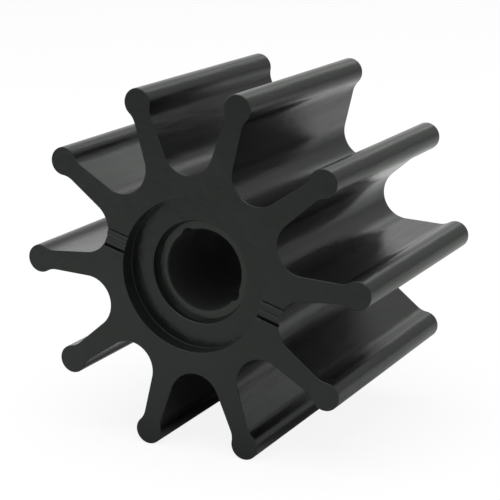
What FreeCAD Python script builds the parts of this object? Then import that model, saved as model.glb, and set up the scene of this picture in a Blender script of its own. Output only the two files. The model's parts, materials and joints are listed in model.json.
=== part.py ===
import FreeCAD, Part
import math
import os

# Flexible pump impeller: straight vanes with round tip beads, moulded in one piece with a thick hub
# round a bored bush. The shaft axis is Y through the origin, at mid width, and Z is up.
# The impeller lies on two neighbouring vane tips, and all lengths are millimetres.

VANE_COUNT = 10
OUTER_RADIUS = 47.5
WIDTH = 65.0

# Drive bush: the shaft that it takes, its clearance on that shaft, and two round-bottomed grooves
# along its bore.
SHAFT_RADIUS = 10.0
SHAFT_CLEARANCE = 0.2
GROOVE_ROUND = 2.0
GROOVE_DEPTH = 1.0
GROOVE_ANGLES = (116.0, -34.0)
BUSH_CHAMFER = 0.3

# Rubber lip over each end of the bush: the ring of bush left bare inside it, how far it reaches
# over the bush, its thickness, and how much its hole widens towards the recess.
BARE_RING_WIDTH = 2.2
LIP_OVERLAP = 2.3
LIP_THICKNESS = 2.5
LIP_FLARE = 0.6

# Recess in each end of the hub: flat floor, bevelled foot, and a bevel round its mouth.
FLOOR_WIDTH = 6.1
RECESS_DEPTH = 4.2
FOOT_BEVEL = 0.2
MOUTH_BEVEL = 0.3

# Face of the hub outside the recess, and the ribbed channels that cross it in two opposite valleys.
RIM_WIDTH = 5.7
CHANNEL_WIDTH = 4.4
CHANNEL_DEPTH = 0.9
CHANNEL_MIDDLE_DEPTH = 0.45
RIB_TOP_DEPTH = 0.1
FIRST_CHANNEL_VALLEY = 2

# Vanes: thickness at the hub circle and at the tip, how far the bead stands out on each side,
# and the hollow fillet under it.
VANE_ROOT_THICKNESS = 6.7
VANE_TIP_THICKNESS = 4.5
BEAD_SWELL = 1.35
NECK_FILLET = 5.0

# How far a cutting shape runs past the surface that it opens.
OVERRUN = 2.0

PITCH = 2.0 * math.pi / VANE_COUNT
BORE_RADIUS = SHAFT_RADIUS + SHAFT_CLEARANCE
LIP_HOLE_RADIUS = BORE_RADIUS + BARE_RING_WIDTH
BUSH_RADIUS = LIP_HOLE_RADIUS + LIP_OVERLAP
FLOOR_RADIUS = LIP_HOLE_RADIUS + LIP_FLARE + FLOOR_WIDTH
RECESS_RADIUS = FLOOR_RADIUS + FOOT_BEVEL
HUB_RADIUS = RECESS_RADIUS + RIM_WIDTH
BEAD_RADIUS = VANE_TIP_THICKNESS / 2.0 + BEAD_SWELL
BEAD_CENTRE = OUTER_RADIUS - BEAD_RADIUS
HALF_WIDTH = WIDTH / 2.0
RECESS_FLOOR = HALF_WIDTH - RECESS_DEPTH
BUSH_END = RECESS_FLOOR - LIP_THICKNESS

AXIS_POINT = FreeCAD.Vector(0.0, 0.0, 0.0)
AXIS = FreeCAD.Vector(0.0, 1.0, 0.0)


def valley_angle(index):
    """Direction of the valley of that index, counted from the one that faces down."""
    return -math.pi / 2.0 + index * PITCH


def vane_angle(index):
    """Direction of the vane just past the valley of that index."""
    return valley_angle(index) + PITCH / 2.0


def on_vane(angle, along, across):
    """Point on the outline's plane, given along a vane and across it."""
    x = along * math.cos(angle) - across * math.sin(angle)
    z = along * math.sin(angle) + across * math.cos(angle)
    return FreeCAD.Vector(x, 0.0, z)


def arc(start, middle, end):
    """Round edge through three points."""
    return Part.Arc(start, middle, end).toShape()


def line(start, end):
    """Straight edge between two points."""
    return Part.LineSegment(start, end).toShape()


class Flank:
    """One tapered side of a vane, in the vane's own (along, across) coordinates."""

    def __init__(self):
        root_half = VANE_ROOT_THICKNESS / 2.0
        tip_half = VANE_TIP_THICKNESS / 2.0
        taper = math.atan2(root_half - tip_half, BEAD_CENTRE - HUB_RADIUS)
        self.start = (HUB_RADIUS, root_half)
        self.direction = (math.cos(taper), -math.sin(taper))
        self.outward = (math.sin(taper), math.cos(taper))
        self.valley_point = self.at(self.measure(self.valley_centre())[0], 0.0)
        self.set_neck()

    def at(self, run, height):
        """The point that far along the flank's line and that far out from it."""
        along = self.start[0] + run * self.direction[0] + height * self.outward[0]
        across = self.start[1] + run * self.direction[1] + height * self.outward[1]
        return (along, across)

    def measure(self, point):
        """Run along the flank's line and height out from it, of a point."""
        step = (point[0] - self.start[0], point[1] - self.start[1])
        run = step[0] * self.direction[0] + step[1] * self.direction[1]
        height = step[0] * self.outward[0] + step[1] * self.outward[1]
        return (run, height)

    def valley_centre(self):
        """Centre of the round valley that touches the hub circle and both flanks beside it."""
        half = PITCH / 2.0
        base = self.start[0] * self.outward[0] + self.start[1] * self.outward[1]
        reach = math.cos(half) * self.outward[0] + math.sin(half) * self.outward[1]
        distance = (HUB_RADIUS - base) / (1.0 - reach)
        return (distance * math.cos(half), distance * math.sin(half))

    def set_neck(self):
        """Hollow fillet that touches the flank and the bead."""
        bead_run, bead_height = self.measure((BEAD_CENTRE, 0.0))
        span = BEAD_RADIUS + NECK_FILLET
        back = math.sqrt(span ** 2 - (NECK_FILLET - bead_height) ** 2)
        centre = self.at(bead_run - back, NECK_FILLET)
        self.neck_start = self.at(bead_run - back, 0.0)
        share = BEAD_RADIUS / span
        self.neck_end = (BEAD_CENTRE + share * (centre[0] - BEAD_CENTRE), share * centre[1])
        along = (self.neck_start[0] + self.neck_end[0]) / 2.0 - centre[0]
        across = (self.neck_start[1] + self.neck_end[1]) / 2.0 - centre[1]
        scale = NECK_FILLET / math.hypot(along, across)
        self.neck_middle = (centre[0] + along * scale, centre[1] + across * scale)


def vane_edges(index, flank):
    """Outline of one vane and of the valley after it, from its lower side round the bead."""
    angle = vane_angle(index)

    def side(point, sign):
        return on_vane(angle, point[0], sign * point[1])

    next_start = on_vane(vane_angle(index + 1), flank.valley_point[0], -flank.valley_point[1])
    valley_middle = on_vane(valley_angle(index + 1), HUB_RADIUS, 0.0)
    return [
        line(side(flank.valley_point, -1), side(flank.neck_start, -1)),
        arc(side(flank.neck_start, -1), side(flank.neck_middle, -1), side(flank.neck_end, -1)),
        arc(side(flank.neck_end, -1), side((OUTER_RADIUS, 0.0), 1), side(flank.neck_end, 1)),
        arc(side(flank.neck_end, 1), side(flank.neck_middle, 1), side(flank.neck_start, 1)),
        line(side(flank.neck_start, 1), side(flank.valley_point, 1)),
        arc(side(flank.valley_point, 1), valley_middle, next_start),
    ]


def star_solid():
    """Hub and vanes as one extruded outline."""
    flank = Flank()
    edges = []
    for index in range(VANE_COUNT):
        edges.extend(vane_edges(index, flank))
    face = Part.Face(Part.Wire(edges))
    face.translate(FreeCAD.Vector(0.0, -HALF_WIDTH, 0.0))
    return face.extrude(AXIS * WIDTH)


def cylinder(radius, length):
    """Cylinder on the shaft axis, centred on mid width."""
    return Part.makeCylinder(radius, length, AXIS * (-length / 2.0), AXIS)


def hub_mouth():
    """What is open in the far end of the hub: the recess with its two bevels, and the lip's hole."""
    foot_top = RECESS_FLOOR + FOOT_BEVEL
    mouth_foot = HALF_WIDTH - MOUTH_BEVEL
    top = HALF_WIDTH + OVERRUN
    mouth_radius = RECESS_RADIUS + MOUTH_BEVEL + OVERRUN

    def at(radius, y):
        return FreeCAD.Vector(radius, y, 0.0)

    edges = [
        line(at(0.0, BUSH_END), at(LIP_HOLE_RADIUS, BUSH_END)),
        line(at(LIP_HOLE_RADIUS, BUSH_END), at(LIP_HOLE_RADIUS + LIP_FLARE, RECESS_FLOOR)),
        line(at(LIP_HOLE_RADIUS + LIP_FLARE, RECESS_FLOOR), at(FLOOR_RADIUS, RECESS_FLOOR)),
        line(at(FLOOR_RADIUS, RECESS_FLOOR), at(RECESS_RADIUS, foot_top)),
        line(at(RECESS_RADIUS, foot_top), at(RECESS_RADIUS, mouth_foot)),
        line(at(RECESS_RADIUS, mouth_foot), at(mouth_radius, top)),
        line(at(mouth_radius, top), at(0.0, top)),
        line(at(0.0, top), at(0.0, BUSH_END)),
    ]
    return Part.Face(Part.Wire(edges)).revolve(AXIS_POINT, AXIS, 360.0)


def ribbed_channel():
    """Channel across the far end of the hub, along X, with two low crowned ribs side by side in it."""
    half = CHANNEL_WIDTH / 2.0
    start = RECESS_RADIUS - OVERRUN
    length = HUB_RADIUS + OVERRUN - start

    def at(across, depth):
        return FreeCAD.Vector(start, HALF_WIDTH - depth, across)

    edges = [
        line(at(-half, -OVERRUN), at(-half, CHANNEL_DEPTH)),
        arc(at(-half, CHANNEL_DEPTH), at(-half / 2.0, RIB_TOP_DEPTH), at(0.0, CHANNEL_MIDDLE_DEPTH)),
        arc(at(0.0, CHANNEL_MIDDLE_DEPTH), at(half / 2.0, RIB_TOP_DEPTH), at(half, CHANNEL_DEPTH)),
        line(at(half, CHANNEL_DEPTH), at(half, -OVERRUN)),
        line(at(half, -OVERRUN), at(-half, -OVERRUN)),
    ]
    return Part.Face(Part.Wire(edges)).extrude(FreeCAD.Vector(length, 0.0, 0.0))


def hub_channels():
    """The two channels of the far end, in opposite valleys."""
    channels = []
    for index in (FIRST_CHANNEL_VALLEY, FIRST_CHANNEL_VALLEY + VANE_COUNT // 2):
        channel = ribbed_channel()
        channel.rotate(AXIS_POINT, AXIS, -math.degrees(valley_angle(index)))
        channels.append(channel)
    return channels


def impeller_body():
    """Rubber moulding: the star, less the bush's pocket and what is open in both ends of the hub."""
    cutters = [cylinder(BUSH_RADIUS, 2.0 * BUSH_END)]
    for cutter in [hub_mouth()] + hub_channels():
        cutters.append(cutter)
        cutters.append(cutter.mirror(AXIS_POINT, AXIS))
    return star_solid().cut(cutters)


def bore_mouth():
    """Chamfer at the far end of the bush's bore."""
    outer = BORE_RADIUS + BUSH_CHAMFER
    base = AXIS * (BUSH_END - BUSH_CHAMFER)
    return Part.makeCone(BORE_RADIUS, outer, BUSH_CHAMFER, base, AXIS)


def bore_groove(angle):
    """Shallow round-bottomed groove along the whole bore."""
    groove = cylinder(GROOVE_ROUND, WIDTH)
    groove.translate(FreeCAD.Vector(BORE_RADIUS + GROOVE_DEPTH - GROOVE_ROUND, 0.0, 0.0))
    groove.rotate(AXIS_POINT, AXIS, -angle)
    return groove


def drive_bush():
    """Bush that the rubber is bonded round, with the shaft's bore and two grooves along it."""
    bush = cylinder(BUSH_RADIUS, 2.0 * BUSH_END)
    cutters = [cylinder(BORE_RADIUS, WIDTH), bore_mouth(), bore_mouth().mirror(AXIS_POINT, AXIS)]
    for angle in GROOVE_ANGLES:
        cutters.append(bore_groove(angle))
    return bush.cut(cutters)


def write_step(name, shape):
    """Writes one piece to the parts folder, and prints whether it is one sound solid."""
    piece = shape
    if len(shape.Solids) == 1:
        piece = shape.Solids[0]
    piece.exportStep(os.path.join("parts", name + ".step"))
    print(name, "solids", len(shape.Solids), "valid", shape.isValid(), "volume", round(shape.Volume, 1))


os.makedirs("parts", exist_ok=True)
write_step("impeller_body", impeller_body())
write_step("drive_bush", drive_bush())
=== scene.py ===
import json
import math

import bmesh
import bpy
from mathutils import Matrix, Vector


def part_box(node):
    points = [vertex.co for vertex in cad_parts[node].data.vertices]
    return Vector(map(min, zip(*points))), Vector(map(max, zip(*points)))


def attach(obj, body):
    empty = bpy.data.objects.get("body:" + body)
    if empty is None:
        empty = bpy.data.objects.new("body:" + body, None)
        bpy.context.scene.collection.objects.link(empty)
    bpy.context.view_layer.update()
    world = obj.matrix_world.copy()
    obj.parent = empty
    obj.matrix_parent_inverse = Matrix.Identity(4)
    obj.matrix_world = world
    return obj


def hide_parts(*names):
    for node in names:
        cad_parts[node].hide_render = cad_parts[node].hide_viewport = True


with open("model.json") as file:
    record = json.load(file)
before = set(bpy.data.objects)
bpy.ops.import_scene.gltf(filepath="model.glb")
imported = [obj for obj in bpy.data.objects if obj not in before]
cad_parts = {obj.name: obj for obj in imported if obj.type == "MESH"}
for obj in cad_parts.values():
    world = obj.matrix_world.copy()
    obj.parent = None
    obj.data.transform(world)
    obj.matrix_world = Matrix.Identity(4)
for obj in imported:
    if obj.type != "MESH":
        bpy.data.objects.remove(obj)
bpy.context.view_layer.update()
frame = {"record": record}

bl_info = {
    "name": "Rubber pump impeller",
    "version": (1, 0, 0),
    "blender": (4, 5, 0),
    "location": "View3D > Sidebar > Impeller",
    "description": "Builds a ten-vane rubber impeller on its bored bush, and the studio that it stands in",
    "category": "Object",
}

# The shaft axis is Y through the origin, Z is up, and the impeller stands on two vane tips.
# Lengths are metres here, and the main ones come from the loaded frame.
MM = 0.001
BODY_LOW, BODY_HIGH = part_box("impeller_body")
BUSH_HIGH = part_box("drive_bush")[1]
SHAFT_BORE = next(m for m in frame["record"]["mounts"] if m["name"] == "shaft_bore")
BORE_RADIUS = SHAFT_BORE["dims"]["r_mm"] * MM

# The body of the frame that both pieces ride.
BODY = "root"

# Vertices that lie closer than this are one.
WELD = 0.002 * MM

# Ribbed channels at each end, spaced evenly round the shaft.
CHANNELS = 2

# How many parts each round stretch is divided into.
BEAD_STEPS = 22
NECK_STEPS = 10
VALLEY_STEPS = 14
EDGE_STEPS = 4
RECESS_EDGE_STEPS = 5
HUB_STEPS = 24
CHANNEL_STEPS = 24
GROOVE_STEPS = 16
BORE_STEPS = 72

# Smooth shading breaks at edges that turn by more than this.
STAR_SHARP_ANGLE = math.radians(38.0)
BUSH_SHARP_ANGLE = math.radians(30.0)

# How strongly large faces keep their own normals, from 1 to 100.
LARGE_FACE_WEIGHT = 60

# Patterns of the skin: noise scales, the waves' scale on each axis, and heights in metres.
CLOUD_SCALE = 55.0
SPECK_SCALE = 900.0
WAVE_STRETCH = (1.0, 0.16, 1.0)
GRAIN_HEIGHT = 0.04 * MM
WAVE_HEIGHT = 0.17 * MM

# How much of the bloom lies on the sides, and how much the roughness varies.
SIDE_BLOOM = 0.3
SIDE_SPREAD = 0.15
END_SPREAD = 0.08

# Where the skin's masks begin and where they are full: by how far the surface looks along the
# shaft, by the value of a noise, and by the distance past the recess's wall, where the walls'
# painted light gives way to the painted shade of the vanes' sides.
END_FACE_BAND = (0.80, 0.97)
CLOUD_BAND = (0.40, 0.75)
SPECK_BAND = (0.25, 0.80)
NOISE_BAND = (0.25, 0.75)
PAST_RECESS_BAND = (0.5 * MM, 1.5 * MM)

# Where the floor changes, in metres from the origin, with the bands of its painted pool of
# light, and where the room changes, by direction.
FLOOR_BEHIND_BAND = (0.05, 0.25)
FLOOR_WHITE_BAND = (0.00, 0.10)
FLOOR_PAINTED_SHADE_FAR_BAND = (-0.45, 0.00)
FLOOR_PAINTED_LIGHT_ACROSS_BAND = (-0.15, 0.00)
ROOM_BEHIND_BAND = (0.20, 0.50)
ROOM_WHITE_BAND = (-0.80, 0.25)
ROOM_LOW_BAND = (0.00, 0.25)

# Width of the camera's sensor in millimetres, which the lens is given for.
SENSOR_WIDTH = 36.0


def length(name, description, default):
    """A size in metres that the sidebar shows with its unit."""
    return bpy.props.FloatProperty(
        name=name, description=description, default=default, min=0.0, precision=5, unit="LENGTH"
    )


def turn(name, description, degrees):
    """An angle, given here in degrees."""
    return bpy.props.FloatProperty(
        name=name, description=description, default=math.radians(degrees), subtype="ANGLE"
    )


def colour(name, description, default):
    """A linear colour without alpha."""
    return bpy.props.FloatVectorProperty(
        name=name, description=description, default=default, min=0.0, max=1.0, size=3, subtype="COLOR"
    )


def share(name, description, default):
    """A number from 0 to 1."""
    return bpy.props.FloatProperty(
        name=name, description=description, default=default, min=0.0, max=1.0, subtype="FACTOR"
    )


def level(name, description, default):
    """A brightness or a factor, which may pass 1."""
    return bpy.props.FloatProperty(name=name, description=description, default=default, min=0.0)


def shift(name, description, default):
    """A distance in metres that may also be below zero."""
    return bpy.props.FloatProperty(
        name=name, description=description, default=default, precision=5, unit="LENGTH"
    )


class VaneSizes(bpy.types.PropertyGroup):
    """The star: its vanes, their beads and the valleys between them."""

    count: bpy.props.IntProperty(
        name="Vanes", description="How many vanes stand round the hub", default=10, min=3, max=24
    )
    outer_radius: length("Outer radius", "From the shaft axis to a vane's tip", BODY_HIGH.x)
    half_width: length("Half width", "From mid width to an end face", BODY_HIGH.y)
    hub_radius: length("Hub radius", "From the shaft axis to the bottom of a valley", 25.0 * MM)
    root_thickness: length("Root thickness", "Vane thickness at the hub radius", 6.7 * MM)
    tip_thickness: length("Tip thickness", "Vane thickness at the bead's centre", 4.5 * MM)
    bead_swell: length("Bead swell", "How far the bead stands out on each side", 1.35 * MM)
    neck_fillet: length("Neck fillet", "Radius of the hollow under the bead", 5.0 * MM)
    edge_round: length("Edge rounding", "Radius of the outline's edge at each end face", 0.28 * MM)


class HubSizes(bpy.types.PropertyGroup):
    """What is open in each end of the hub."""

    recess_radius: length("Recess radius", "Radius of the recess's wall", 19.3 * MM)
    recess_depth: length("Recess depth", "From the end face to the recess floor", 4.2 * MM)
    recess_edge: length("Recess edge", "Rounding of the recess's upper edge", 0.15 * MM)
    foot_round: length("Foot rounding", "Hollow rounding where the wall meets the floor", 0.1 * MM)
    lip_radius: length("Lip radius", "Radius of the lip's hole at the bush", 12.4 * MM)
    lip_flare: length("Lip flare", "How much the lip's hole widens towards the recess", 0.6 * MM)
    lip_edge: length("Lip edge", "Rounding of the lip's upper edge", 0.35 * MM)
    channel_width: length("Channel width", "Width of each ribbed channel across the end face", 4.4 * MM)
    channel_depth: length("Channel depth", "Depth of the channel at its two sides", 0.7 * MM)
    channel_lean: length("Channel lean", "How much each side of the channel leans outward", 0.2 * MM)
    channel_edge: length("Channel edge", "Rounding of the channel's upper edges", 0.2 * MM)
    middle_depth: length("Middle depth", "Depth of the channel between its two ribs", 0.45 * MM)
    rib_depth: length("Rib depth", "How far the ribs' crowns lie under the end face", 0.1 * MM)
    channel_angle: turn("Channel angle", "Direction of the first channel, from X towards Z", -18.0)


class BushSizes(bpy.types.PropertyGroup):
    """The bored bush that the rubber is bonded round."""

    bore_radius: length("Bore radius", "Radius of the shaft's bore", BORE_RADIUS)
    outer_radius: length("Outer radius", "Radius of the bush", BUSH_HIGH.x)
    half_length: length("Half length", "From mid width to an end of the bush", BUSH_HIGH.y)
    mouth_chamfer: length("Mouth chamfer", "Chamfer at each end of the bore", 0.3 * MM)
    outer_chamfer: length("Outer chamfer", "Chamfer at each end of the bush's outside", 0.12 * MM)
    groove_round: length("Groove rounding", "Radius of each groove's round bottom", 2.0 * MM)
    groove_depth: length("Groove depth", "Depth of each groove below the bore", 1.0 * MM)
    upper_groove: turn("Upper groove", "Direction of the upper groove, from X towards Z", 116.0)
    lower_groove: turn("Lower groove", "Direction of the lower groove, from X towards Z", -34.0)


class FinishValues(bpy.types.PropertyGroup):
    """Colours and gloss of the rubber and of the bush."""

    rubber: colour("Rubber", "Black moulded rubber", (0.0034, 0.0041, 0.0037))
    rubber_bloom: colour("Rubber bloom", "Rubber where it is slightly dusty", (0.0090, 0.0106, 0.0099))
    bush: colour("Bush", "Dark moulded composite", (0.0150, 0.0166, 0.0147))
    bush_bloom: colour("Bush bloom", "Composite where it is dusty", (0.0238, 0.0268, 0.0246))
    gloss_tint: colour("Gloss tint", "Faint tint of what the skin mirrors", (0.965, 1.000, 0.985))
    vane_roughness: share("Vane roughness", "Roughness of the satin sides of the vanes", 0.24)
    end_roughness: share("End roughness", "Roughness of the satin end faces", 0.24)
    bush_roughness: share("Bush roughness", "Roughness of the bush's ends", 0.24)
    bore_roughness: share("Bore roughness", "Roughness of the matt bore", 0.90)
    # Painted shade: the vanes' sides are darkened to stand in for how light falls on them.
    painted_side_shading: share("Side shade", "How pale the vanes' sides are beside the end faces", 0.30)
    # Painted light: the recess's walls are made paler to stand in for the light that reaches them.
    painted_recess_light: level("Recess shade", "How pale the recess's walls are beside the end faces", 2.2)
    # Painted shade: the bore is darkened to stand in for the shade inside it.
    painted_bore_shade: share("Bore shade", "How pale the bore is beside the bush's ends", 0.42)
    grain_size: length("Grain size", "Size of the moulded grain", 0.40 * MM)
    wave_size: length("Wave size", "Width of the slow waves across a vane", 3.5 * MM)


class StudioValues(bpy.types.PropertyGroup):
    """Camera, floor and lamps."""

    azimuth: turn("Azimuth", "Direction of the camera round the object", 27.55)
    elevation: turn("Elevation", "Height of the camera above the horizon", 14.40)
    roll: turn("Roll", "Turn of the camera about its own line of sight", -1.12)
    distance: length("Distance", "From the origin to the camera, along its line of sight", 432.3 * MM)
    aside: shift("Aside", "Camera moved to its right", -0.54 * MM)
    raised: shift("Raised", "Camera moved up", -1.04 * MM)
    lens: bpy.props.FloatProperty(
        name="Lens", description="Focal length on a 36 mm sensor", default=119.9, unit="CAMERA"
    )
    floor_side: length("Floor side", "Side of the square floor", 12.0)
    floor_shade: share("Floor shade", "How pale the floor is", 0.60)
    # Painted pool of light on the floor that mirror rays see: painted shade on the right and far in front,
    # and painted light on the left.
    floor_right_painted_shade: share("Right floor", "Share of the shade on the right", 0.97)
    floor_far_painted_shade: share("Far floor", "Share of the shade far in front", 0.65)
    floor_left_painted_light: level("Left floor", "Share of the shade on the left", 1.2)
    floor_white: share("Floor white", "How much of the floor's white shines by itself", 0.88)
    light: colour("Light", "Colour of the light in the room", (0.970, 1.000, 0.966))
    front_level: level("Front level", "Brightness of the room in front of the object", 0.75)
    rear_level: level("Rear level", "Brightness of the room behind the object", 0.50)
    horizon_level: level("Horizon level", "Brightness of the room behind, low down", 0.36)
    overhead_level: level("Overhead level", "Radiance of the soft lamp over the object", 1.80)
    rear_lamp_level: level("Rear lamp level", "Radiance of the soft lamp behind the object", 0.76)


class Settings(bpy.types.PropertyGroup):
    """All sizes, finishes and studio values together."""

    vanes: bpy.props.PointerProperty(type=VaneSizes)
    hub: bpy.props.PointerProperty(type=HubSizes)
    bush: bpy.props.PointerProperty(type=BushSizes)
    finish: bpy.props.PointerProperty(type=FinishValues)
    studio: bpy.props.PointerProperty(type=StudioValues)


# Nodes


def fresh_tree(owner):
    """The emptied node tree of a material or a world."""
    owner.use_nodes = True
    owner.node_tree.nodes.clear()
    return owner.node_tree


def link(tree, outlet, inlet):
    """Joins an output socket to an input socket."""
    tree.links.new(outlet, inlet)


def add(tree, kind, **values):
    """A new node, with its own properties set."""
    node = tree.nodes.new(kind)
    for name, value in values.items():
        setattr(node, name, value)
    return node


def maths(tree, operation, first, second=None):
    """A Math node's output. Each operand is a number or a socket."""
    node = add(tree, "ShaderNodeMath", operation=operation)
    for inlet, operand in zip(node.inputs, (first, second)):
        if isinstance(operand, (int, float)):
            inlet.default_value = operand
        elif operand is not None:
            link(tree, operand, inlet)
    return node.outputs["Value"]


def ramp(tree, value, low, high, to_low=0.0, to_high=1.0):
    """A smooth step from one value to another."""
    node = add(tree, "ShaderNodeMapRange", interpolation_type="SMOOTHSTEP")
    link(tree, value, node.inputs["Value"])
    node.inputs["From Min"].default_value = low
    node.inputs["From Max"].default_value = high
    for name, target in (("To Min", to_low), ("To Max", to_high)):
        if isinstance(target, (int, float)):
            node.inputs[name].default_value = target
        else:
            link(tree, target, node.inputs[name])
    return node.outputs["Result"]


def between(tree, mask, first, second):
    """A value that moves from the first to the second as the mask goes from 0 to 1."""
    return ramp(tree, mask, 0.0, 1.0, first, second)


def varied(tree, value, pattern, spread):
    """A value times a factor near 1 that follows a noise pattern."""
    return maths(tree, "MULTIPLY", value, ramp(tree, pattern, *NOISE_BAND, 1.0 - spread, 1.0 + spread))


def axes_of(tree, vector):
    """The X, Y and Z outputs of a vector."""
    node = add(tree, "ShaderNodeSeparateXYZ")
    link(tree, vector, node.inputs["Vector"])
    return node.outputs


def shaft_distance(tree, place):
    """How far a place is from the shaft's axis."""
    axes = axes_of(tree, place)
    across = maths(tree, "MULTIPLY", axes["X"], axes["X"])
    up = maths(tree, "MULTIPLY", axes["Z"], axes["Z"])
    return maths(tree, "SQRT", maths(tree, "ADD", across, up))


def socket(tree, name, kind, default=None, output=False):
    """A named socket on a node group."""
    made = tree.interface.new_socket(name, in_out="OUTPUT" if output else "INPUT", socket_type=kind)
    if default is not None:
        made.default_value = default
    return made


def noise(tree, coordinates, scale, detail, stretch=None):
    """A noise texture's value. Stretch, if given, scales its coordinates on each axis."""
    if stretch is not None:
        mapping = add(tree, "ShaderNodeMapping")
        mapping.inputs["Scale"].default_value = stretch
        link(tree, coordinates, mapping.inputs["Vector"])
        coordinates = mapping.outputs["Vector"]
    node = add(tree, "ShaderNodeTexNoise")
    link(tree, coordinates, node.inputs["Vector"])
    node.inputs["Detail"].default_value = detail
    if isinstance(scale, (int, float)):
        node.inputs["Scale"].default_value = scale
    else:
        link(tree, scale, node.inputs["Scale"])
    return node.outputs["Fac"]


def moulded_skin_group():
    """Shader group for a moulded skin: faint bloom, fine grain, slow waves along the width, and
    painted light and shade on the sides.
    """
    tree = bpy.data.node_groups.new("Moulded skin", "ShaderNodeTree")
    socket(tree, "Colour", "NodeSocketColor", (0.01, 0.01, 0.01, 1.0))
    socket(tree, "Bloom Colour", "NodeSocketColor", (0.02, 0.02, 0.02, 1.0))
    socket(tree, "Side Roughness", "NodeSocketFloat", 0.2)
    socket(tree, "End Roughness", "NodeSocketFloat", 0.5)
    # Painted shade on the sides, as a factor on the colour.
    socket(tree, "Painted Side Shade", "NodeSocketFloat", 1.0)
    # Painted light on the walls inside the recess, as a factor on the colour.
    socket(tree, "Painted Recess Shading", "NodeSocketFloat", 1.0)
    socket(tree, "Recess Radius", "NodeSocketFloat", 0.0)
    socket(tree, "Grain Size", "NodeSocketFloat", 0.3 * MM)
    socket(tree, "Wave Size", "NodeSocketFloat", 5.0 * MM)
    socket(tree, "Colour", "NodeSocketColor", output=True)
    socket(tree, "Roughness", "NodeSocketFloat", output=True)
    socket(tree, "Height", "NodeSocketFloat", output=True)
    given = add(tree, "NodeGroupInput")
    made = add(tree, "NodeGroupOutput")
    place = add(tree, "ShaderNodeTexCoord")

    # An end face is where the surface looks along the shaft.
    facing = axes_of(tree, place.outputs["Normal"])
    end_face = ramp(tree, maths(tree, "ABSOLUTE", facing["Y"]), *END_FACE_BAND)

    grain_scale = maths(tree, "DIVIDE", 1.0, given.outputs["Grain Size"])
    wave_scale = maths(tree, "DIVIDE", 1.0, given.outputs["Wave Size"])
    grain = noise(tree, place.outputs["Object"], grain_scale, detail=3.0)
    clouds = noise(tree, place.outputs["Object"], CLOUD_SCALE, detail=5.0)
    specks = noise(tree, place.outputs["Object"], SPECK_SCALE, detail=2.0)
    waves = noise(tree, place.outputs["Object"], wave_scale, detail=2.0, stretch=WAVE_STRETCH)

    # Bloom is dust, and most of it lies on the end faces.
    dust = maths(tree, "MULTIPLY", ramp(tree, clouds, *CLOUD_BAND), ramp(tree, specks, *SPECK_BAND))
    bloom = maths(tree, "MULTIPLY", dust, between(tree, end_face, SIDE_BLOOM, 1.0))

    # Inputs 6 and 7 of this node are its two colours, and output 2 is the mixed one.
    mix = add(tree, "ShaderNodeMix", data_type="RGBA")
    link(tree, bloom, mix.inputs["Factor"])
    link(tree, given.outputs["Colour"], mix.inputs[6])
    link(tree, given.outputs["Bloom Colour"], mix.inputs[7])

    # Painted light and shade: the colour of walls inside the recess is scaled by one factor, which
    # paints light on the rubber's walls, and the colour of the other sides, such as the vanes' sides
    # and the bore, by another, which paints shade.
    radius = shaft_distance(tree, place.outputs["Object"])
    beyond = maths(tree, "SUBTRACT", radius, given.outputs["Recess Radius"])
    wall, side = given.outputs["Painted Recess Shading"], given.outputs["Painted Side Shade"]
    painted_side_shading = ramp(tree, beyond, *PAST_RECESS_BAND, wall, side)
    shade = add(tree, "ShaderNodeVectorMath", operation="SCALE")
    link(tree, mix.outputs[2], shade.inputs[0])
    link(tree, between(tree, end_face, painted_side_shading, 1.0), shade.inputs["Scale"])
    link(tree, shade.outputs["Vector"], made.inputs["Colour"])

    side_roughness = varied(tree, given.outputs["Side Roughness"], clouds, SIDE_SPREAD)
    end_roughness = varied(tree, given.outputs["End Roughness"], grain, END_SPREAD)
    link(tree, between(tree, end_face, side_roughness, end_roughness), made.inputs["Roughness"])

    # Height in metres. The noise spans about a fifth of each factor.
    low_relief = maths(tree, "MULTIPLY", grain, GRAIN_HEIGHT)
    slow_relief = maths(tree, "MULTIPLY", waves, WAVE_HEIGHT)
    link(tree, maths(tree, "ADD", low_relief, slow_relief), made.inputs["Height"])
    return tree


def skin_group():
    """The shared shader group, built once."""
    return bpy.data.node_groups.get("Moulded skin") or moulded_skin_group()


def skin_material(name, base, bloom, skin_values, finish):
    """A dark moulded material with the shared skin in it."""
    material = bpy.data.materials.new(name)
    tree = fresh_tree(material)
    skin = add(tree, "ShaderNodeGroup", node_tree=skin_group())
    skin.inputs["Colour"].default_value = (*base, 1.0)
    skin.inputs["Bloom Colour"].default_value = (*bloom, 1.0)
    skin.inputs["Grain Size"].default_value = finish.grain_size
    skin.inputs["Wave Size"].default_value = finish.wave_size
    for inlet, value in skin_values.items():
        skin.inputs[inlet].default_value = value

    # The skin's height is already in metres.
    relief = add(tree, "ShaderNodeBump")
    relief.inputs["Strength"].default_value = 1.0
    relief.inputs["Distance"].default_value = 1.0
    shader = add(tree, "ShaderNodeBsdfPrincipled")
    shader.inputs["Specular Tint"].default_value = (*finish.gloss_tint, 1.0)
    made = add(tree, "ShaderNodeOutputMaterial")
    link(tree, skin.outputs["Height"], relief.inputs["Height"])
    link(tree, skin.outputs["Colour"], shader.inputs["Base Color"])
    link(tree, skin.outputs["Roughness"], shader.inputs["Roughness"])
    link(tree, relief.outputs["Normal"], shader.inputs["Normal"])
    link(tree, shader.outputs["BSDF"], made.inputs["Surface"])
    return material


# Meshes


def new_object(name, data):
    """An object at the origin, linked to the scene."""
    made = bpy.data.objects.new(name, data)
    bpy.context.scene.collection.objects.link(made)
    return made


def finished_mesh(name, mesh):
    """The mesh data of an edited mesh, which is freed."""
    made = bpy.data.meshes.new(name)
    mesh.to_mesh(made)
    mesh.free()
    return made


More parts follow.
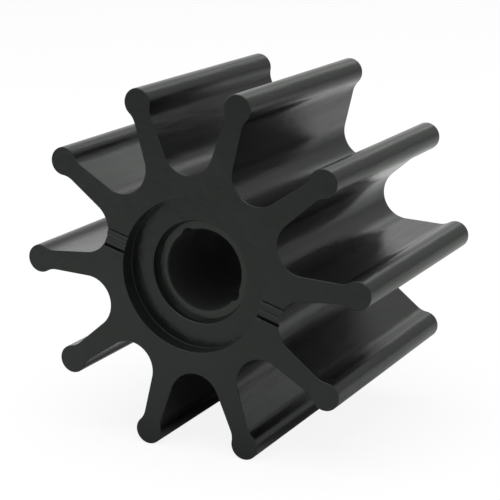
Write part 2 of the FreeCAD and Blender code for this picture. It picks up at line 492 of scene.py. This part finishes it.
def add_faces_between(mesh, rows):
    """Joins neighbouring rows of vertices with four-sided faces."""
    for lower, upper in zip(rows, rows[1:]):
        for index in range(len(lower) - 1):
            mesh.faces.new((lower[index], lower[index + 1], upper[index + 1], upper[index]))


# Star


def arc_points(centre, radius, start, end, steps):
    """Points and outward normals on an arc, in a vane's (along, across) coordinates.
    A radius below zero is a hollow arc, whose outward normals look at its centre."""
    points = []
    for step in range(steps + 1):
        angle = start + (end - start) * step / steps
        normal = Vector((math.cos(angle), math.sin(angle)))
        side = 1.0 if radius > 0.0 else -1.0
        points.append((centre + normal * abs(radius), normal * side))
    return points


def vane_half_outline(vanes):
    """Outline from the tip of a vane to mid valley on one side, as points with outward normals."""
    pitch = math.tau / vanes.count
    bead_radius = vanes.tip_thickness / 2.0 + vanes.bead_swell
    bead = Vector((vanes.outer_radius - bead_radius, 0.0))
    root = Vector((vanes.hub_radius, vanes.root_thickness / 2.0))
    taper = math.atan2(root.y - vanes.tip_thickness / 2.0, bead.x - root.x)
    along = Vector((math.cos(taper), -math.sin(taper)))
    outward = Vector((math.sin(taper), math.cos(taper)))

    # The hollow fillet touches the flank and the bead.
    height = (bead - root).dot(outward)
    span = bead_radius + vanes.neck_fillet
    back = math.sqrt(span ** 2 - (vanes.neck_fillet - height) ** 2)
    neck = root + along * ((bead - root).dot(along) - back) + outward * vanes.neck_fillet

    # The round valley touches both flanks beside it and the hub radius.
    middle = Vector((math.cos(pitch / 2.0), math.sin(pitch / 2.0)))
    far = (vanes.hub_radius - root.dot(outward)) / (1.0 - middle.dot(outward))
    valley = middle * far
    valley_radius = far - vanes.hub_radius

    bead_end = math.atan2(neck.y - bead.y, neck.x - bead.x)
    flank = math.atan2(-outward.y, -outward.x)
    bead_arc = arc_points(bead, bead_radius, 0.0, bead_end, BEAD_STEPS)
    neck_arc = arc_points(neck, -vanes.neck_fillet, bead_end - math.pi, flank, NECK_STEPS)
    valley_arc = arc_points(valley, -valley_radius, flank, pitch / 2.0 - math.pi, VALLEY_STEPS)
    return bead_arc + neck_arc[1:] + valley_arc


def vane_outline(vanes):
    """Outline of one vane from mid valley to mid valley, as points with outward normals."""
    half = vane_half_outline(vanes)
    mirrored = [(Vector((p.x, -p.y)), Vector((n.x, -n.y))) for p, n in reversed(half)]
    return mirrored[:-1] + half


def rounded_end(radius, steps):
    """Quarter round at an end face, as pairs of inset from the outline and depth under the face."""
    pairs = []
    for step in range(steps + 1):
        angle = math.pi / 2.0 * step / steps
        pairs.append((radius * (1.0 - math.cos(angle)), radius * (1.0 - math.sin(angle))))
    return pairs


def mouth_section(hub, vanes, bush):
    """Section of one end of the hub, from the end face to the bush, as pairs of radius and height."""
    floor = vanes.half_width - hub.recess_depth
    section = []
    for inset, depth in reversed(rounded_end(hub.recess_edge, RECESS_EDGE_STEPS)):
        section.append((hub.recess_radius + inset, vanes.half_width - depth))
    for inset, rise in rounded_end(hub.foot_round, RECESS_EDGE_STEPS):
        section.append((hub.recess_radius - inset, floor + rise))
    lip_top = hub.lip_radius + hub.lip_flare
    for inset, depth in reversed(rounded_end(hub.lip_edge, EDGE_STEPS)):
        section.append((lip_top + inset, floor - depth))
    section.append((hub.lip_radius, bush.half_length))
    section.append((bush.outer_radius, bush.half_length))
    return section


def sector_mesh(vanes, hub, bush):
    """One vane with half a valley on each side and its share of the hub, open at the two cuts."""
    mesh = bmesh.new()
    outline = vane_outline(vanes)
    pitch = math.tau / vanes.count
    ends = rounded_end(vanes.edge_round, EDGE_STEPS)
    levels = [(inset, vanes.half_width - depth) for inset, depth in ends]
    levels = levels[::-1] + [(inset, -y) for inset, y in levels]

    # Sides of the vane, from the far end to the near one.
    rows = []
    for inset, y in levels:
        row = []
        for point, normal in outline:
            at = point - normal * inset
            row.append(mesh.verts.new((at.x, y, at.y)))
        rows.append(row)
    add_faces_between(mesh, rows)

    # Recesses, lips and the bush's seat.
    section = mouth_section(hub, vanes, bush)
    section = section + [(radius, -y) for radius, y in reversed(section)]
    bowls = []
    for radius, y in section:
        row = []
        for index in range(HUB_STEPS + 1):
            angle = pitch * (index / HUB_STEPS - 0.5)
            row.append(mesh.verts.new((radius * math.cos(angle), y, radius * math.sin(angle))))
        bowls.append(row)
    add_faces_between(mesh, bowls)

    # End faces.
    mesh.faces.new(rows[0] + bowls[0][::-1])
    mesh.faces.new(rows[-1] + bowls[-1][::-1])
    bmesh.ops.recalc_face_normals(mesh, faces=mesh.faces)
    return finished_mesh("vane_sector", mesh)


def channel_mesh(vanes, hub):
    """What one ribbed channel takes away at both ends, along X."""
    mesh = bmesh.new()
    half = hub.channel_width / 2.0
    face = vanes.half_width

    # The cutter reaches past what it cuts.
    spare = 2.0 * MM
    start = hub.recess_radius - spare
    end = vanes.hub_radius + spare

    # The bottom: a straight fall from the middle to each side, with a rounded rib on it.
    lift = (hub.middle_depth + hub.channel_depth) / 2.0 - hub.rib_depth
    outline = []
    for index in range(CHANNEL_STEPS + 1):
        across = half * (2.0 * index / CHANNEL_STEPS - 1.0)
        share_across = abs(across) / half
        crown = 4.0 * share_across * (1.0 - share_across)
        straight = hub.middle_depth + (hub.channel_depth - hub.middle_depth) * share_across
        depth = straight - lift * crown
        outline.append((across, face - depth))

    # The sides: they lean out and end in a rounded edge.
    side = half + hub.channel_lean
    edge = [(side + inset, face - depth) for inset, depth in rounded_end(hub.channel_edge, EDGE_STEPS)]
    top = [(side + hub.channel_edge, face + spare)]
    outline += edge + top + [(-across, y) for across, y in reversed(edge + top)]
    for facing in (1.0, -1.0):
        near = [mesh.verts.new((start, y * facing, across)) for across, y in outline]
        far = [mesh.verts.new((end, y * facing, across)) for across, y in outline]
        mesh.faces.new(near)
        mesh.faces.new(far[::-1])
        for index in range(len(outline)):
            after = (index + 1) % len(outline)
            mesh.faces.new((near[index], far[index], far[after], near[after]))
    bmesh.ops.recalc_face_normals(mesh, faces=mesh.faces)
    return finished_mesh("channel_cutter", mesh)


def copies_round_the_shaft(tree, geometry, count, first_angle):
    """Geometry nodes that set copies of a geometry round the Y axis, evenly."""
    points = add(tree, "GeometryNodePoints")
    index = add(tree, "GeometryNodeInputIndex")
    place = add(tree, "GeometryNodeInstanceOnPoints")
    turned = add(tree, "FunctionNodeAxisAngleToRotation")
    realize = add(tree, "GeometryNodeRealizeInstances")
    turned.inputs["Axis"].default_value = (0.0, -1.0, 0.0)
    if isinstance(count, int):
        points.inputs["Count"].default_value = count
        step = math.tau / count
    else:
        link(tree, count, points.inputs["Count"])
        step = maths(tree, "DIVIDE", math.tau, count)
    angle = maths(tree, "MULTIPLY", index.outputs["Index"], step)
    link(tree, maths(tree, "ADD", angle, first_angle), turned.inputs["Angle"])
    link(tree, points.outputs["Points"], place.inputs["Points"])
    link(tree, geometry, place.inputs["Instance"])
    link(tree, turned.outputs["Rotation"], place.inputs["Rotation"])
    link(tree, place.outputs["Instances"], realize.inputs["Geometry"])
    return realize.outputs["Geometry"]


def star_tree():
    """Geometry nodes: vanes round the hub, welded into one skin, less the two pairs of channels."""
    tree = bpy.data.node_groups.new("Impeller star", "GeometryNodeTree")
    socket(tree, "Sector", "NodeSocketGeometry")
    socket(tree, "Vane Count", "NodeSocketInt", 10)
    socket(tree, "First Vane", "NodeSocketFloat", 0.0)
    socket(tree, "Weld", "NodeSocketFloat", WELD)
    socket(tree, "Channel", "NodeSocketObject")
    socket(tree, "Channel Angle", "NodeSocketFloat", 0.0)
    socket(tree, "Rubber", "NodeSocketMaterial")
    socket(tree, "Star", "NodeSocketGeometry", output=True)
    given = add(tree, "NodeGroupInput")
    made = add(tree, "NodeGroupOutput")

    vanes = copies_round_the_shaft(
        tree, given.outputs["Sector"], given.outputs["Vane Count"], given.outputs["First Vane"]
    )
    weld = add(tree, "GeometryNodeMergeByDistance")
    link(tree, vanes, weld.inputs["Geometry"])
    link(tree, given.outputs["Weld"], weld.inputs["Distance"])

    cutter = add(tree, "GeometryNodeObjectInfo")
    link(tree, given.outputs["Channel"], cutter.inputs["Object"])
    channels = copies_round_the_shaft(
        tree, cutter.outputs["Geometry"], CHANNELS, given.outputs["Channel Angle"]
    )
    cut = add(tree, "GeometryNodeMeshBoolean", operation="DIFFERENCE", solver="EXACT")
    link(tree, weld.outputs["Geometry"], cut.inputs["Mesh 1"])
    link(tree, channels, cut.inputs["Mesh 2"])

    smooth = add(tree, "GeometryNodeSetShadeSmooth")
    whole = add(tree, "GeometryNodeRealizeInstances")
    paint = add(tree, "GeometryNodeSetMaterial")
    link(tree, cut.outputs["Mesh"], smooth.inputs["Geometry"])
    link(tree, smooth.outputs["Geometry"], whole.inputs["Geometry"])
    link(tree, whole.outputs["Geometry"], paint.inputs["Geometry"])
    link(tree, given.outputs["Rubber"], paint.inputs["Material"])
    link(tree, paint.outputs["Geometry"], made.inputs["Star"])
    return tree


def run_tree(obj, tree, values):
    """Runs a geometry tree on an object and gives it the result as its plain mesh."""
    modifier = obj.modifiers.new("Shape", "NODES")
    modifier.node_group = tree
    for item in tree.interface.items_tree:
        if item.in_out == "INPUT" and item.name in values:
            modifier[item.identifier] = values[item.name]
    bpy.context.view_layer.update()
    evaluated = obj.evaluated_get(bpy.context.evaluated_depsgraph_get())
    result = bpy.data.meshes.new_from_object(evaluated)
    obj.modifiers.clear()
    obj.data = result


def finish_edges(obj, sharp_angle):
    """Smooth shading that breaks at sharp edges, weighted so that flat faces stay flat."""
    obj.data.shade_smooth()
    obj.data.set_sharp_from_angle(angle=sharp_angle)
    weighted = obj.modifiers.new("Flat faces", "WEIGHTED_NORMAL")
    weighted.keep_sharp = True
    weighted.weight = LARGE_FACE_WEIGHT


def check_closed(obj):
    """Raises an error if the mesh is empty or has an open edge."""
    mesh = bmesh.new()
    mesh.from_mesh(obj.data)
    loose = sum(1 for edge in mesh.edges if len(edge.link_faces) != 2)
    faces = len(mesh.faces)
    mesh.free()
    if faces == 0 or loose:
        raise RuntimeError(f"{obj.name} isn't one closed skin: {faces} faces, {loose} open edges")


def dress(obj, node):
    """Hands a finished piece to the frame in place of its CAD node."""
    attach(obj, BODY)
    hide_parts(node)


class IMPELLER_OT_star(bpy.types.Operator):
    """Builds the rubber moulding: ten vanes, the hub with its recesses, lips and channels"""

    bl_idname = "impeller.star"
    bl_label = "Rubber star"

    def execute(self, context):
        settings = context.scene.impeller
        vanes, hub, bush, finish = settings.vanes, settings.hub, settings.bush, settings.finish
        skin_values = {
            "Side Roughness": finish.vane_roughness,
            "End Roughness": finish.end_roughness,
            # Painted shade on the vanes' sides.
            "Painted Side Shade": finish.painted_side_shading,
            # Painted light on the recess's walls.
            "Painted Recess Shading": finish.painted_recess_light,
            "Recess Radius": hub.recess_radius,
        }
        rubber = skin_material("Black rubber", finish.rubber, finish.rubber_bloom, skin_values, finish)
        star = new_object("rubber_star", sector_mesh(vanes, hub, bush))
        cutter = new_object("channel_cutter", channel_mesh(vanes, hub))
        tree = star_tree()

        # The first vane stands half a pitch beside straight down, so two vanes touch the floor.
        straight_down = -0.25
        half_pitch = 0.5 / vanes.count
        values = {
            "Vane Count": vanes.count,
            "First Vane": math.tau * (half_pitch + straight_down),
            "Weld": WELD,
            "Channel": cutter,
            "Channel Angle": hub.channel_angle,
            "Rubber": rubber,
        }
        run_tree(star, tree, values)
        bpy.data.objects.remove(cutter)
        check_closed(star)
        finish_edges(star, STAR_SHARP_ANGLE)
        dress(star, "impeller_body")
        return {"FINISHED"}


# Bush


def bore_outline(bush):
    """The bore with its two round-bottomed grooves, as pairs of angle and radius."""
    bore, bottom = bush.bore_radius, bush.groove_round
    centre = bore + bush.groove_depth - bottom
    half_opening = math.acos((bore ** 2 + centre ** 2 - bottom ** 2) / (2.0 * bore * centre))
    grooves = sorted(angle % math.tau for angle in (bush.upper_groove, bush.lower_groove))
    outline = []
    for index, groove in enumerate(grooves):
        following = grooves[(index + 1) % len(grooves)]
        if following <= groove:
            following += math.tau
        for step in range(GROOVE_STEPS + 1):
            offset = half_opening * (2.0 * step / GROOVE_STEPS - 1.0)
            across = centre * math.sin(offset)
            radius = centre * math.cos(offset) + math.sqrt(bottom ** 2 - across ** 2)
            outline.append((groove + offset, radius))
        start, end = groove + half_opening, following - half_opening
        for step in range(1, BORE_STEPS):
            outline.append((start + (end - start) * step / BORE_STEPS, bore))
    return outline


def bush_mesh(bush):
    """Ring with the grooved bore, closed all round."""
    mesh = bmesh.new()
    outline = bore_outline(bush)
    chamfer = bush.outer_chamfer

    # Rings at one end: how far the mouth's chamfer has opened, the height, and the outer radius.
    levels = [
        (0.0, bush.half_length - bush.mouth_chamfer, None),
        (1.0, bush.half_length, None),
        (None, bush.half_length, bush.outer_radius - chamfer),
        (None, bush.half_length - chamfer, bush.outer_radius),
    ]
    levels += [(flare, -y, radius) for flare, y, radius in reversed(levels)]
    rows = []
    for flare, y, outer in levels:
        row = []
        for angle, radius in outline:
            at = outer if flare is None else max(radius, bush.bore_radius + flare * bush.mouth_chamfer)
            row.append(mesh.verts.new((at * math.cos(angle), y, at * math.sin(angle))))
        rows.append(row + row[:1])
    add_faces_between(mesh, rows + rows[:1])
    bmesh.ops.remove_doubles(mesh, verts=mesh.verts, dist=WELD)
    bmesh.ops.recalc_face_normals(mesh, faces=mesh.faces)
    return finished_mesh("bush", mesh)


class IMPELLER_OT_bush(bpy.types.Operator):
    """Builds the dark bush inside the rubber, with its bore and two grooves"""

    bl_idname = "impeller.bush"
    bl_label = "Drive bush"

    def execute(self, context):
        settings = context.scene.impeller
        finish = settings.finish
        bush = new_object("bored_bush", bush_mesh(settings.bush))
        skin_values = {
            "Side Roughness": finish.bore_roughness,
            "End Roughness": finish.bush_roughness,
            # Painted shade in the bore, given for both factors since the bush has no recess.
            "Painted Side Shade": finish.painted_bore_shade,
            "Painted Recess Shading": finish.painted_bore_shade,
        }
        composite = skin_material(
            "Dark composite", finish.bush, finish.bush_bloom, skin_values, finish
        )
        bush.data.materials.append(composite)
        check_closed(bush)
        finish_edges(bush, BUSH_SHARP_ANGLE)
        dress(bush, "drive_bush")
        return {"FINISHED"}


# Studio


def direction(around, above):
    """Unit vector away from the origin. Around is the angle from -Y towards +X."""
    flat = math.cos(above)
    return Vector((math.sin(around) * flat, -math.cos(around) * flat, math.sin(above)))


def mixed(tree, mask, first, second):
    """Two shaders: the first where the mask is 0, and the second where it is 1."""
    node = add(tree, "ShaderNodeMixShader")
    link(tree, mask, node.inputs["Fac"])
    link(tree, first, node.inputs[1])
    link(tree, second, node.inputs[2])
    return node.outputs["Shader"]


def seen_white(tree, mirrored):
    """How far a ray sees the white background: camera and glass rays always, and mirror rays
    as far as the given mask says."""
    path = add(tree, "ShaderNodeLightPath")
    glossy = maths(tree, "MULTIPLY", path.outputs["Is Glossy Ray"], mirrored)
    camera, glass = path.outputs["Is Camera Ray"], path.outputs["Is Transmission Ray"]
    return maths(tree, "MAXIMUM", maths(tree, "MAXIMUM", camera, glass), glossy)


def floor_material(studio):
    """Pale floor that looks white but keeps the object's shadow."""
    material = bpy.data.materials.new("Pale floor")
    tree = fresh_tree(material)
    axes = axes_of(tree, add(tree, "ShaderNodeTexCoord").outputs["Object"])
    behind = ramp(tree, axes["Y"], *FLOOR_BEHIND_BAND)
    left = ramp(tree, axes["X"], *FLOOR_WHITE_BAND, 1.0, 0.0)
    seen = seen_white(tree, maths(tree, "MULTIPLY", behind, left))

    # The end face mirrors the floor in front, whose colour holds a painted pool of light: painted
    # shade makes it dimmer far away, and painted light paler to the left.
    far = ramp(tree, axes["Y"], *FLOOR_PAINTED_SHADE_FAR_BAND, studio.floor_far_painted_shade, 1.0)
    painted_light_across = ramp(tree, axes["X"], *FLOOR_PAINTED_LIGHT_ACROSS_BAND, studio.floor_left_painted_light, studio.floor_right_painted_shade)
    shade = maths(tree, "MULTIPLY", maths(tree, "MULTIPLY", far, painted_light_across), studio.floor_shade)
    paint = add(tree, "ShaderNodeBsdfDiffuse")
    link(tree, between(tree, seen, shade, 1.0), paint.inputs["Color"])
    white = add(tree, "ShaderNodeEmission")
    white.inputs["Strength"].default_value = 1.0
    made = add(tree, "ShaderNodeOutputMaterial")
    mask = maths(tree, "MULTIPLY", seen, studio.floor_white)
    surface = mixed(tree, mask, paint.outputs["BSDF"], white.outputs["Emission"])
    link(tree, surface, made.inputs["Surface"])
    return material


def build_floor(studio):
    """Square floor under the lowest vane tips."""
    mesh = bmesh.new()
    bmesh.ops.create_grid(mesh, x_segments=1, y_segments=1, size=studio.floor_side / 2.0)
    made = finished_mesh("floor", mesh)
    made.transform(Matrix.Translation((0.0, 0.0, BODY_LOW.z)))
    made.materials.append(floor_material(studio))
    floor = new_object("floor", made)


def build_world(studio):
    """Plain room, bright in front of the object and dimmer behind it. Its background is white
    where it is seen directly, and mirror rays see more of that white towards the left."""
    world = bpy.data.worlds.new("Studio room")
    bpy.context.scene.world = world
    tree = fresh_tree(world)
    axes = axes_of(tree, add(tree, "ShaderNodeTexCoord").outputs["Generated"])
    behind = ramp(tree, axes["Y"], *ROOM_BEHIND_BAND)
    left = ramp(tree, axes["X"], *ROOM_WHITE_BAND, 1.0, 0.0)
    seen = seen_white(tree, maths(tree, "MULTIPLY", behind, left))

    room = add(tree, "ShaderNodeBackground")
    room.inputs["Color"].default_value = (*studio.light, 1.0)
    rear = ramp(tree, axes["Z"], *ROOM_LOW_BAND, studio.horizon_level, studio.rear_level)
    link(tree, between(tree, behind, studio.front_level, rear), room.inputs["Strength"])
    white = add(tree, "ShaderNodeBackground")
    white.inputs["Color"].default_value = (1.0, 1.0, 1.0, 1.0)
    white.inputs["Strength"].default_value = 1.0
    made = add(tree, "ShaderNodeOutputWorld")
    surface = mixed(tree, seen, room.outputs["Background"], white.outputs["Background"])
    link(tree, surface, made.inputs["Surface"])


def build_lamp(name, light_colour, radiance, azimuth, elevation, distance, width, height):
    """Soft rectangular lamp that looks at the origin. Its angles are given in degrees."""
    light = bpy.data.lights.new(name, "AREA")
    light.color = light_colour
    light.shape = "RECTANGLE"
    light.size = width
    light.size_y = height
    light.energy = radiance * math.pi * width * height
    away = direction(math.radians(azimuth), math.radians(elevation))
    lamp = new_object(name, light)
    lamp.location = away * distance
    lamp.rotation_mode = "QUATERNION"
    lamp.rotation_quaternion = (-away).to_track_quat("-Z", "Y")
    lamp.visible_camera = False


def build_camera(studio):
    """Camera at the photograph's angle, with its line of sight near the origin."""
    around, roll = studio.azimuth, studio.roll
    back = direction(around, studio.elevation)
    sideways = Vector((math.cos(around), math.sin(around), 0.0))
    upright = back.cross(sideways)
    right = sideways * math.cos(roll) + upright * math.sin(roll)
    up = upright * math.cos(roll) - sideways * math.sin(roll)
    data = bpy.data.cameras.new("camera")
    data.sensor_width = SENSOR_WIDTH
    data.lens = studio.lens
    data.clip_start = 0.01
    data.clip_end = 100.0
    camera = new_object("camera", data)
    place = back * studio.distance + right * studio.aside + up * studio.raised
    turned = Matrix((right, up, back)).transposed().to_4x4()
    camera.matrix_world = Matrix.Translation(place) @ turned
    bpy.context.scene.camera = camera


class IMPELLER_OT_studio(bpy.types.Operator):
    """Sets up the pale floor, the plain room, the soft lamps and the camera"""

    bl_idname = "impeller.studio"
    bl_label = "Studio"

    def execute(self, context):
        studio = context.scene.impeller.studio
        build_floor(studio)
        build_world(studio)
        build_lamp(
            "overhead lamp",
            studio.light,
            studio.overhead_level,
            azimuth=0.0,
            elevation=84.0,
            distance=0.80,
            width=0.90,
            height=0.90,
        )
        build_lamp(
            "rear lamp",
            studio.light,
            studio.rear_lamp_level,
            azimuth=180.0,
            elevation=33.0,
            distance=1.20,
            width=0.20,
            height=0.60,
        )
        build_camera(studio)
        context.scene.view_settings.view_transform = "Standard"
        return {"FINISHED"}


class IMPELLER_PT_sidebar(bpy.types.Panel):
    """Lists the steps that build the impeller, with the sizes that each one uses"""

    bl_idname = "IMPELLER_PT_sidebar"
    bl_label = "Pump impeller"
    bl_space_type = "VIEW_3D"
    bl_region_type = "UI"
    bl_category = "Impeller"

    def draw(self, context):
        settings = context.scene.impeller
        steps = [
            (IMPELLER_OT_star, (settings.vanes, settings.hub, settings.finish)),
            (IMPELLER_OT_bush, (settings.bush,)),
            (IMPELLER_OT_studio, (settings.studio,)),
        ]
        for step, groups in steps:
            box = self.layout.box()
            box.operator(step.bl_idname)
            for group in groups:
                for name in type(group).__annotations__:
                    box.prop(group, name)


CLASSES = (
    VaneSizes,
    HubSizes,
    BushSizes,
    FinishValues,
    StudioValues,
    Settings,
    IMPELLER_OT_star,
    IMPELLER_OT_bush,
    IMPELLER_OT_studio,
    IMPELLER_PT_sidebar,
)


def register():
    """Registers the classes and gives each scene its settings."""
    for cls in CLASSES:
        bpy.utils.register_class(cls)
    bpy.types.Scene.impeller = bpy.props.PointerProperty(type=Settings)


def unregister():
    """Takes back what register did."""
    del bpy.types.Scene.impeller
    for cls in reversed(CLASSES):
        bpy.utils.unregister_class(cls)


def main():
    """Builds every piece and the studio, in order."""
    register()
    bpy.ops.impeller.star()
    bpy.ops.impeller.bush()
    bpy.ops.impeller.studio()


if __name__ == "__main__":
    main()
